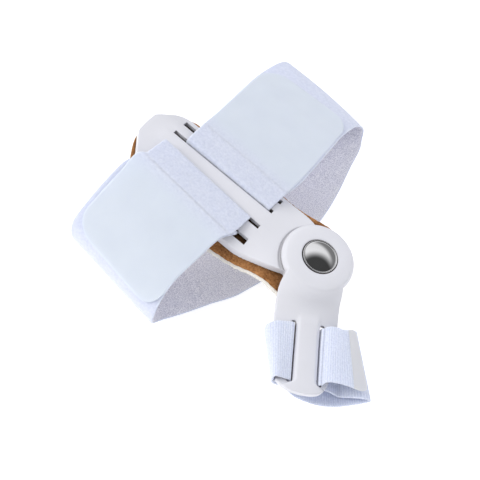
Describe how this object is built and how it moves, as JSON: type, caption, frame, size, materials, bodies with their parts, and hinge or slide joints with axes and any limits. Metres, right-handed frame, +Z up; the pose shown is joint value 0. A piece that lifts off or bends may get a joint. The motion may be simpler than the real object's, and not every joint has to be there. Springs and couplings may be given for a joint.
{
  "type": "bunion corrector",
  "caption": "Hinged toe splint: an arched plate on a padded foot strap, and an arm with a toe strap that swings on a rivet.",
  "frame": {"origin": "on the flat underside of the foot strap, below the plate's spine, where the part rests on a table", "axes": "+X along the plate towards the hinge and the toe, +Y across the plate towards the strap's longer side, +Z up from the table"},
  "size_m": [0.1404, 0.1469, 0.0511],
  "materials": {
    "white_plastic": "smooth moulded, semi-gloss",
    "tan_suede": "faux suede, matt nap",
    "fleece": "soft fleece",
    "loop_fabric": "brushed loop pile",
    "hook_tape": "smooth woven tape",
    "rivet": "polished dome"
  },
  "bodies": {
    "foot_frame": {"side_plate": "white_plastic", "pad_suede": "tan_suede", "pad_lining": "fleece", "foot_strap": "loop_fabric", "hook_tab_left": "hook_tape", "hook_tab_right": "hook_tape"},
    "toe_frame": {"toe_arm": "white_plastic", "hinge_cap": "rivet", "toe_strap": "loop_fabric", "toe_hook_tab": "hook_tape"}
  },
  "joints": [
    {"name": "toe_hinge", "type": "hinge", "parent": "foot_frame", "child": "toe_frame", "pos_m": [0.05, 0, 0.023], "axis": [0.3016, 0.0698, 0.9509], "range_deg": [-7, 123]}
  ]
}
